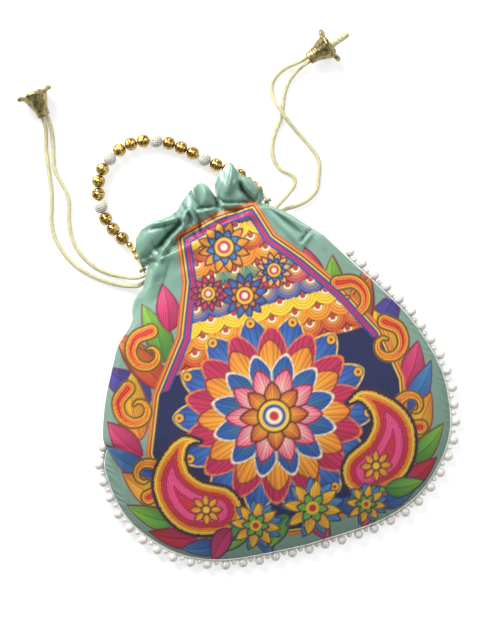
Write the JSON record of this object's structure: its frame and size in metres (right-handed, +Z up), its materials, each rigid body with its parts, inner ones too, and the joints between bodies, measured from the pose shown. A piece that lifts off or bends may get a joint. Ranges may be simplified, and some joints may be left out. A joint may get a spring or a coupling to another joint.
{
  "type": "potli bag",
  "caption": "Mint drawstring pouch lying on its back, with a gathered satin frill, cream cords with brass bell ends, pearl edging and a beaded handle.",
  "frame": {"origin": "on the face that the pouch lies on, under the middle of its body", "axes": "+Z up, away from the floor, through the front; +Y towards the mouth; +X to the right of somebody looking at the front with the mouth up"},
  "size_m": [0.2399, 0.3368, 0.0383],
  "materials": {
    "mint_cloth": "matte woven face with a printed rosette",
    "mint_satin": "satin",
    "cream_cord": "satin cord",
    "pearl": "pearl",
    "gold": "hammered, polished",
    "antique_brass": "antique"
  },
  "bodies": {
    "pouch": {"front_panel": "mint_cloth", "back_panel": "mint_cloth", "satin_collar": "mint_satin", "casing_band": "mint_satin", "pearl_trim": "pearl", "left_cord_run": "cream_cord", "right_cord_run": "cream_cord", "left_back_strand": "cream_cord", "left_front_strand": "cream_cord", "right_back_strand": "cream_cord", "right_front_strand": "cream_cord", "left_knot": "cream_cord", "right_knot": "cream_cord", "left_handle_tack": "cream_cord", "right_handle_tack": "cream_cord"},
    "handle": {"handle_wire": "gold", "gold_bead_1": "gold", "gold_bead_2": "gold", "gold_bead_3": "gold", "gold_bead_4": "gold", "gold_bead_5": "gold", "gold_bead_6": "gold", "gold_bead_7": "gold", "gold_bead_8": "gold", "gold_bead_9": "gold", "gold_bead_10": "gold", "gold_bead_11": "gold", "gold_bead_12": "gold", "gold_bead_13": "gold", "gold_bead_14": "gold", "gold_bead_15": "gold", "small_gold_bead_1": "gold", "small_gold_bead_2": "gold", "small_gold_bead_3": "gold", "small_gold_bead_4": "gold", "small_gold_bead_5": "gold", "small_gold_bead_6": "gold", "white_bead_1": "pearl", "white_bead_2": "pearl", "white_bead_3": "pearl", "white_bead_4": "pearl"},
    "left_cap": {"left_end_cap": "antique_brass"},
    "right_cap": {"right_end_cap": "antique_brass"}
  },
  "joints": [
    {"name": "handle_swing", "type": "hinge", "parent": "pouch", "child": "handle", "pos_m": [-0.01299, 0.13031, 0.012], "axis": [0.9686, 0.2487, 0], "range_deg": [-100, 40]},
    {"name": "left_cap_slide", "type": "slide", "parent": "pouch", "child": "left_cap", "axis": [0.1462, -0.9707, -0.1908], "range_m": [-0.008, 0.0005]},
    {"name": "right_cap_slide", "type": "slide", "parent": "pouch", "child": "right_cap", "axis": [-0.9376, -0.2906, -0.1908], "range_m": [-0.012, 0.001]}
  ]
}
